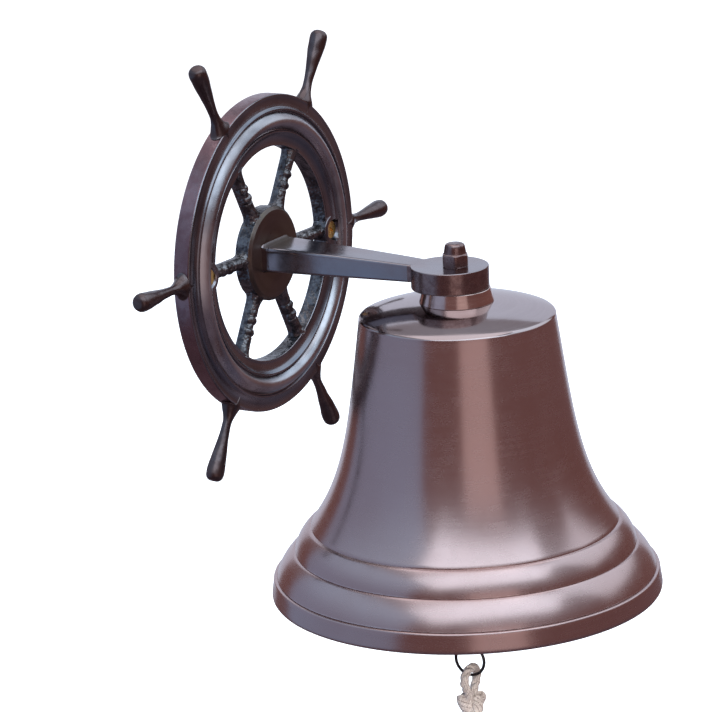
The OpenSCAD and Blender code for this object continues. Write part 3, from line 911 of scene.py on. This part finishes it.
def makeRing(v):
    outer, window = v["outer"], v["window"]
    flange = throughPoints([(outer - 0.75, 7.85), (71.8, 7.62), (69.8, 7.7), (68.1, 8.15)], 6)
    bead = throughPoints([(65.7, 7.95), (65.3, 8.5), (64.5, 9.4), (63.5, 10.3), (62.5, 11.0), (61.5, 11.25),
                          (60.5, 11.1), (59.6, 10.6), (58.8, 9.8), (58.2, 8.9), (57.75, 8.1)], 3)
    band = throughPoints([(55.9, 8.55), (54.6, 7.65), (53.1, 7.15), (51.7, 6.98), (50.9, 7.08)], 5)
    outline = np.vstack([
        [(window, 0.0), (outer, 0.0), (outer, 3.5), (outer, 7.0), (outer - 0.06, 7.4), (outer - 0.3, 7.75)],
        flange,
        [(67.75, 8.6), (67.4, 9.0), (66.95, 9.2), (66.5, 9.1), (66.15, 8.6), (65.9, 8.0), (65.6, 7.9)],
        bead,
        [(57.6, 7.9), (57.35, 8.0), (57.15, 8.6), (56.85, 8.95), (56.5, 9.0), (56.15, 8.85)],
        band,
        [(window + 0.55, 7.15), (window + 0.25, 7.1), (window + 0.06, 6.85), (window, 6.4), (window, 3.2)]])
    piece = makePiece("wheelRing", onWall(turned(outline, v["around"])), metals["ringBronze"], wrapRows=True)
    padR, padH, bore = v["padRadius"], v["padHeight"], v["holeRadius"]
    pad = softCorners([(0, 0.02), (padR, 0.02), (padR, padH), (0, padH)], 0.5, 4, closed=False)
    hole = [(0, -1), (bore, -1), (bore, 4.6), (4.16, 6.84), (4.85, 7.65), (5.6, 9), (0, 9)]
    for side in (0, math.pi):
        shift = np.array([v["padAt"], 0, 0]) * mm
        for outlineOf, operation in ((pad, "UNION"), (hole, "DIFFERENCE")):
            place = onWall(turned(outlineOf, 64)[1:-1] + shift, side)
            tool = makePiece("tool", place, metals["ringBronze"])
            carve(piece, tool, operation)
    # walls that no tool has touched keep their cast skin, and the bead is polished
    middle, normal = facePlaces(piece.data)
    distance = np.hypot(middle[:, 0], middle[:, 2]) / mm
    wall = np.abs(normal[:, 1]) < 0.5
    cast = (distance < window + 0.08) & wall | (middle[:, 1] > -0.1 * mm)
    bead = (distance > 57.6) & (distance < 65.8) & (middle[:, 1] < -8.0 * mm)
    rim = (distance > outer - 0.2) & wall
    setFinishes(piece.data, ("ringBronze", "castBronze", "beadBronze", "rimBronze"),
                np.select([cast, bead, rim], [1, 2, 3], 0))
    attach(piece, "root")
    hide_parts("wheel_ring")


hubValues = {"radius": 22.0, "height": 8.5, "boreRadius": 3.2, "around": 160}


def makeHub(v):
    r, h = v["radius"], v["height"]
    side = np.stack([np.full(10, r), np.linspace(0.3, h - 1.9, 10)], axis=-1)
    face = throughPoints([(r - 1.5, h - 0.2), (18, h - 0.05), (14, h), (9, h), (v["boreRadius"] + 0.1, h)], 5)
    outline = np.vstack([[(6.2, 0.0), (r - 0.4, 0.0), (r - 0.1, 0.1)], side,
                         softCorners([side[-1], (r, h - 1.5), face[0], face[1]], 0.5, 4, closed=False)[1:-1],
                         face[1:], [(v["boreRadius"], 3.0)]])
    grid = onWall(turned(outline, v["around"]))
    rough = uneven(grid, 1.7 * mm, 3) * 0.09 * mm
    away = np.hypot(grid[..., 0], grid[..., 2])
    onSide = np.clip((away / mm - (r - 0.9)) / 0.6, 0, 1)
    out = np.stack([grid[..., 0], 0 * away, grid[..., 2]], axis=-1) / np.maximum(away, 1e-6)[..., None]
    grid = grid + out * (rough * onSide)[..., None]
    piece = makePiece("wheelHub", grid, metals["castBronze"], wrapRows=True)
    middle, _ = facePlaces(piece.data)
    setFinishes(piece.data, ("castBronze", "hubFace"), middle[:, 1] < -(h - 1.6) * mm)
    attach(piece, "root")
    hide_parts("wheel_hub")


spokeValues = {"axis": 3.4, "back": 0.4, "halfWidth": 2.75, "around": 40}
spokeOutline = [(21.0, 3.5), (23, 3.3), (26, 2.9), (29.4, 2.8), (30.6, 2.75), (31.1, 2.4), (31.5, 2.45),
                (32.0, 2.95), (32.8, 3.25), (33.6, 3.25), (34.4, 2.95), (34.9, 2.5), (35.3, 2.4),
                (36.6, 2.4), (37.0, 2.5), (37.5, 2.95), (38.3, 3.25), (39.1, 3.25), (39.9, 2.95),
                (40.4, 2.5), (40.8, 2.45), (41.3, 2.75), (43, 2.8), (46, 2.9), (49, 3.2), (51, 3.4)]


# Front half: a half circle of the turned radius. Back half: a flat bar of fixed width.
# Both widen into a root where the spoke meets the hub and the ring.
def spokeGrid(v, seed):
    outline = throughPoints(spokeOutline, 4)
    s = outline[:, :1]
    root = 1.2 * np.exp(-(s - 22) / 1.1) + 1.2 * np.exp(-(50 - s) / 1.1)
    r = outline[:, 1:] + np.clip(root, 0, 2.4) * 0.3
    wide = v["halfWidth"] + np.clip(root, 0, 2.4)
    half = v["around"] // 2
    a = np.linspace(0, np.pi, half + 1)[None, :]
    frontX, frontH = (r + np.clip(root, 0, 2.4) * 0.6) * np.cos(a), v["axis"] + r * np.sin(a)
    t = np.linspace(0, 1, half + 1)[None, 1:-1]
    # the back runs down one side, across and up the other, with rounded lower corners
    corner = np.abs(1 - 2 * t) ** 0.16
    backX = -np.sign(1 - 2 * t) * wide * np.where(np.abs(1 - 2 * t) > 0.5, 1.0, np.abs(1 - 2 * t) / 0.5)
    depth = np.clip((1 - np.abs(1 - 2 * t)) / 0.5, 0, 1)
    backH = v["axis"] - 0.3 - (v["axis"] - 0.3 - v["back"]) * depth + 0 * s
    x = np.concatenate([frontX, backX * corner / corner.max()], axis=1)
    h = np.concatenate([frontH, backH], axis=1)
    grid = np.stack([s + 0 * x, x, h], axis=-1) * mm
    rough = uneven(grid + seed, 1.5 * mm, 11) * 0.07 * mm + uneven(grid + seed, 4.5 * mm, 12) * 0.08 * mm
    centre = np.array([0, 0, v["axis"] * mm])
    away = grid - centre
    away[..., 0] = 0
    away /= np.maximum(np.linalg.norm(away, axis=-1), 1e-6)[..., None]
    onFront = np.clip(grid[..., 2] / (0.8 * mm) - 0.5, 0, 1)
    return grid + away * (rough * onFront)[..., None]


handleValues = {"axis": 4.2, "start": 74.0, "around": 40}
handleOutline = [(4.6, 3.0), (6.0, 2.5), (8.0, 2.2), (10.0, 2.1), (13, 2.25), (17, 2.6), (21, 3.1),
                 (25, 3.6), (28.5, 4.0), (31.5, 4.2), (33.2, 4.15)]


# A turned grip that spreads into a root against the ring's wall, with a pointed leaf that
# runs on over the flange; the back is cut flat where it would enter the wall.
def handleGrid(v, seed):
    leaf = [(-4.6, 0.15), (-3.6, 0.7), (-2.4, 1.5), (-1.2, 2.7), (-0.4, 4.6), (0.0, 6.3), (0.35, 5.8),
            (0.9, 5.15), (1.8, 4.45), (2.8, 3.9), (3.7, 3.4)]
    grip = throughPoints(leaf + handleOutline, 4)
    tip = np.array([(34.2, 3.95), (35.0, 3.5), (35.6, 2.95), (35.9, 2.4), (36.0, 1.6), (36.0, 0.6)])
    outline = np.vstack([grip, tip])
    s, across = outline[:, :1], outline[:, 1:]
    # height of the front above the axis: the leaf lies low, then the root rises over the rim
    front = np.interp(s[:, 0], [-4.6, -2.4, -0.6, 0.6, 1.6, 3.0, 4.4, 7.0],
                      [3.6, 3.85, 4.15, 4.1, 3.85, 3.4, 2.95, 2.35])
    tall = np.where(s[:, 0] < 7.0, front, across[:, 0])[:, None]
    a = np.linspace(0, 2 * np.pi, v["around"], endpoint=False)[None, :]
    x = across * np.cos(a)
    h = v["axis"] + np.where(np.sin(a) > 0, tall, np.maximum(tall, 2.2)) * np.sin(a)
    grid = np.stack([v["start"] + s + 0 * x, x, h], axis=-1)
    rough = uneven(grid * mm + seed, 6 * mm, 21) * 0.10
    away = grid - np.array([0, 0, v["axis"]])
    away[..., 0] = 0
    away /= np.maximum(np.linalg.norm(away, axis=-1), 1e-6)[..., None]
    settled = np.clip((36 - s) / 4, 0, 1) * np.clip((s + 4.6) / 4, 0, 1)
    grid = grid + away * (rough * settled)[..., None]
    grid[..., 2] = np.maximum(grid[..., 2], 0.02)
    return grid * mm


makeRing(ringValues)
makeHub(hubValues)
for k in range(6):
    turn = math.radians(60 * k)
    bar = onWall(spokeGrid(spokeValues, k * 0.013), turn)
    grip = onWall(handleGrid(handleValues, k * 0.017), turn)
    spoke = makePiece(f"spokeBar{k + 1}", bar, metals["castBronze"], sharpDegrees=60)
    handle = makePiece(f"handleGrip{k + 1}", grip, metals["handleBronze"], sharpDegrees=50)
    for piece, node in ((spoke, f"spoke_{k + 1}"), (handle, f"handle_{k + 1}")):
        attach(piece, "root")
        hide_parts(node)
print("wheel made")


# the bracket arm and its eye, in millimetres; each section is y, half width, top and bottom
armValues = {
    "eyeCentre": -100.0,
    "eyeRadius": 17.75,
    "eyeTop": 2.3,
    "eyeBottom": -7.7,
    "sections": [(-8.2, 12.2, 6.9, -6.95), (-8.9, 12.1, 6.5, -6.7), (-9.9, 12.0, 6.15, -6.5),
                 (-11.5, 11.85, 5.95, -6.4), (-14, 11.65, 5.75, -6.3), (-30, 10.6, 5.05, -6.2),
                 (-50, 9.35, 4.15, -6.05), (-70, 8.05, 3.2, -5.9), (-78, 7.5, 2.75, -5.85),
                 (-84, 7.15, 2.35, -5.8), (-87, 7.0, 1.9, -5.6), (-90, 6.8, 1.6, -5.2)],
}


# A rounded oblong carried along the arm: half width, top and bottom change with distance.
def armGrid(v):
    key = throughPoints(v["sections"], 5)
    y, wide, top, low = (key[:, k:k + 1] for k in range(4))
    a = np.linspace(0, 2 * np.pi, 64, endpoint=False)[None, :] + np.pi / 64
    # a superellipse hugs the oblong; its high power leaves small rounded corners
    power = 0.2
    x = wide * np.sign(np.cos(a)) * np.abs(np.cos(a)) ** power
    z = (top + low) / 2 + (top - low) / 2 * np.sign(np.sin(a)) * np.abs(np.sin(a)) ** power
    return np.stack([x, y + 0 * x, z], axis=-1) * mm


def makeArm(v):
    piece = makePiece("bracketArm", armGrid(v), metals["armBronze"])
    r = v["eyeRadius"]
    eye = softCorners([(0, v["eyeBottom"]), (r, v["eyeBottom"]), (r, v["eyeTop"]), (0, v["eyeTop"])],
                      0.6, 5, closed=False)
    disc = turned(eye, 160)[1:-1] + np.array([0, v["eyeCentre"], 0]) * mm
    carve(piece, makePiece("tool", disc, metals["armBronze"]), "UNION")
    # the underside and the eye's wall take darker finishes than the drawn faces: painted shade under the arm
    # and on the eye's side wall
    middle, normal = facePlaces(piece.data)
    under = normal[:, 2] < -0.7
    eyeWall = (np.abs(normal[:, 2]) < 0.7) & (middle[:, 1] < (v["eyeCentre"] + r) * mm)
    # painted shade: downward faces and the eye's side wall get the darker finishes
    setFinishes(piece.data, ("armBronze", "handleBronze", "nutCopper"),
                np.select([under, eyeWall], [1, 2], 0))
    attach(piece, "root")
    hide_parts("bracket_arm")


makeArm(armValues)
print("bracket made")


lampValues = {       # azimuth from the camera, elevation, distance, width, height, power, colour
    "leftWall": (-86, 12, 1.5, 3.0, 2.7, 11.8, (0.23, 0.61, 1.0)),
    "frontSheet": (15, 2, 1.9, 1.1, 1.4, 2.3, (0.98, 0.90, 0.90)),
    "overFront": (16, 56, 1.6, 2.3, 1.1, 15.0, (0.68, 0.87, 1.0)),
    "rightHigh": (116, 38, 1.6, 1.5, 1.2, 6.4, (0.66, 0.86, 1.0)),
    "backdrop": (180, 8, 1.9, 2.1, 2.0, 10.5, (0.60, 0.80, 1.0)),
    "ropeFill": (14, 18, 1.7, 1.2, 1.2, 34.0, (1.0, 0.98, 0.95)),
    "top": (180, 80, 1.7, 1.6, 1.6, 8.0, (0.90, 0.95, 1.0)),
}
bellMiddle = Vector((axisX, axisY, -0.09))


# A soft lamp placed by its angles from the camera's own direction, facing the bell.
def makeLamp(name, v):
    az, el, distance, width, height, power, colour = v
    turn = math.radians(cameraValues["azimuth"] + az)
    rise = math.radians(el)
    way = Vector((math.sin(turn) * math.cos(rise), -math.cos(turn) * math.cos(rise), math.sin(rise)))
    data = bpy.data.lights.new(name, "AREA")
    data.shape = "RECTANGLE"
    data.size, data.size_y = width, height
    data.energy = power
    data.color = colour
    lamp = bpy.data.objects.new(name, data)
    lamp.location = bellMiddle + way * distance
    lamp.visible_camera = False
    lamp.visible_glossy = name != "ropeFill"      # this one only lights the cotton
    lamp.rotation_euler = way.to_track_quat("Z", "Y").to_euler()
    bpy.context.scene.collection.objects.link(lamp)


for name, values in lampValues.items():
    makeLamp(name, values)

worldValues = {"low": (0.15, 0.115, 0.145), "horizon": (0.22, 0.115, 0.105), "high": (0.42, 0.46, 0.54),
               "strength": 1.0}


# The room: a dim warm horizon that turns cooler and lighter overhead.
def makeWorld(v):
    world = bpy.data.worlds.new("room")
    bpy.context.scene.world = world
    world.use_nodes = True
    tree = world.node_tree
    coords = addNode(tree, "ShaderNodeTexCoord")
    split = addNode(tree, "ShaderNodeSeparateXYZ")
    tree.links.new(coords.outputs["Generated"], split.inputs[0])
    below = mapRange(tree, split.outputs[2], -0.6, 0.0)
    above = mapRange(tree, split.outputs[2], 0.1, 0.8)
    colour = mixColour(tree, above, mixColour(tree, below, v["low"], v["horizon"]), v["high"])
    background = tree.nodes["Background"]
    background.inputs["Strength"].default_value = v["strength"]
    tree.links.new(colour, background.inputs["Color"])


makeWorld(worldValues)


floorValues = {"size": 30.0, "height": -0.46, "colour": (0.9, 0.9, 0.9, 1), "glow": 0.85}


# A wide pale floor below the lanyard, which only the camera sees.
def makeFloor(v):
    size, height = v["size"], v["height"]
    corners = [(-size, -size, height), (size, -size, height), (size, size, height), (-size, size, height)]
    material, tree, shader = newMaterial("paleFloor")
    setInputs(shader, {"Base Color": v["colour"], "Roughness": 0.95, "Emission Color": (1, 1, 1, 1),
                       "Emission Strength": v["glow"]})
    # seen from below the floor is clear, so that it never hides the bell
    side = addNode(tree, "ShaderNodeNewGeometry")
    clear = addNode(tree, "ShaderNodeBsdfTransparent")
    blend = addNode(tree, "ShaderNodeMixShader")
    for output, socket in ((side.outputs["Backfacing"], blend.inputs[0]),
                           (shader.outputs[0], blend.inputs[1]),
                           (clear.outputs[0], blend.inputs[2]),
                           (blend.outputs[0], tree.nodes["Material Output"].inputs[0])):
        tree.links.new(output, socket)
    mesh = bpy.data.meshes.new("floor")
    mesh.from_pydata(corners, [], [[0, 1, 2, 3]])
    mesh.materials.append(material)
    floor = bpy.data.objects.new("floor", mesh)
    bpy.context.scene.collection.objects.link(floor)
    floor.visible_glossy = False
    floor.visible_diffuse = False


makeFloor(floorValues)
bpy.context.scene.view_settings.view_transform = "Standard"
bpy.context.scene.cycles.use_denoising = True
print("studio made")
